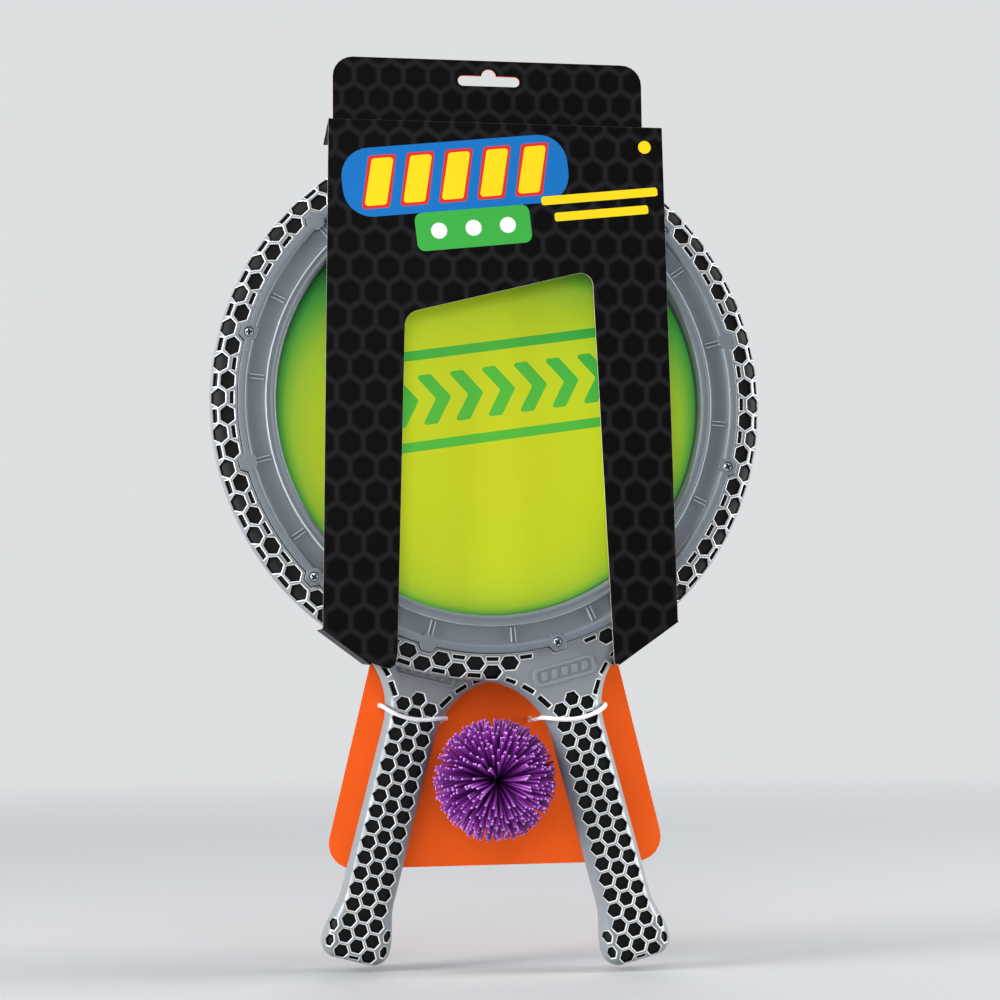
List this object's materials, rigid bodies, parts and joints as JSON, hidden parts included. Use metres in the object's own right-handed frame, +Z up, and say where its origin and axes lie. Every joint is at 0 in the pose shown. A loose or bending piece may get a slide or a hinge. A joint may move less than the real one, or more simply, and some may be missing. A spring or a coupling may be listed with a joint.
{
  "type": "paddle ball game",
  "caption": "Round bats with stretched bouncing sheets and a ball of rubber strands, tied to a printed hanging card under a folded sleeve.",
  "frame": {"origin": "middle of the hang slot, on the rear face of the card", "axes": "+Z up along the hanging card, the bats face -Y, +X to the viewer's right"},
  "size_m": [0.2912, 0.0679, 0.4832],
  "materials": {
    "card_orange": "printed paperboard, satin",
    "card_black": "printed paperboard, satin",
    "frame_grey": "moulded, silver grey, semi-gloss",
    "core_black": "closed-cell foam, matt",
    "ring_grey": "moulded, blue grey, semi-gloss",
    "sheet_lime": "stretched elastic sheet, printed lime to green",
    "screw_steel": "zinc-plated",
    "tie_white": "nylon, white",
    "strand_purple": "soft rubber strands"
  },
  "bodies": {
    "card": {"backing_card": "card_orange", "header_card": "card_black", "tie_locks": "tie_white"},
    "back_bat": {"back_bat_face_shell": "frame_grey", "back_bat_rear_shell": "frame_grey", "back_bat_rim_core": "core_black", "back_bat_grip_core": "core_black", "back_bat_face_ring": "ring_grey", "back_bat_rear_ring": "ring_grey", "back_bat_sheet": "sheet_lime", "back_bat_face_screws": "screw_steel", "back_bat_rear_screws": "screw_steel", "back_bat_tie": "tie_white"},
    "front_bat": {"front_bat_face_shell": "frame_grey", "front_bat_rear_shell": "frame_grey", "front_bat_rim_core": "core_black", "front_bat_grip_core": "core_black", "front_bat_face_ring": "ring_grey", "front_bat_rear_ring": "ring_grey", "front_bat_sheet": "sheet_lime", "front_bat_face_screws": "screw_steel", "front_bat_rear_screws": "screw_steel", "front_bat_tie": "tie_white"},
    "sleeve": {"sleeve": "card_black"},
    "ball": {"ball_strands": "strand_purple", "ball_tie": "tie_white"}
  },
  "joints": [
    {"name": "back_bat_off", "type": "slide", "parent": "card", "child": "back_bat", "axis": [0, -1, 0], "range_m": [0, 0.08]},
    {"name": "front_bat_off", "type": "slide", "parent": "back_bat", "child": "front_bat", "axis": [0, -1, 0], "range_m": [0, 0.08]},
    {"name": "sleeve_off", "type": "slide", "parent": "front_bat", "child": "sleeve", "axis": [0, -1, 0], "range_m": [0, 0.1]},
    {"name": "ball_off", "type": "slide", "parent": "card", "child": "ball", "axis": [0, -1, 0], "range_m": [0, 0.1]}
  ]
}
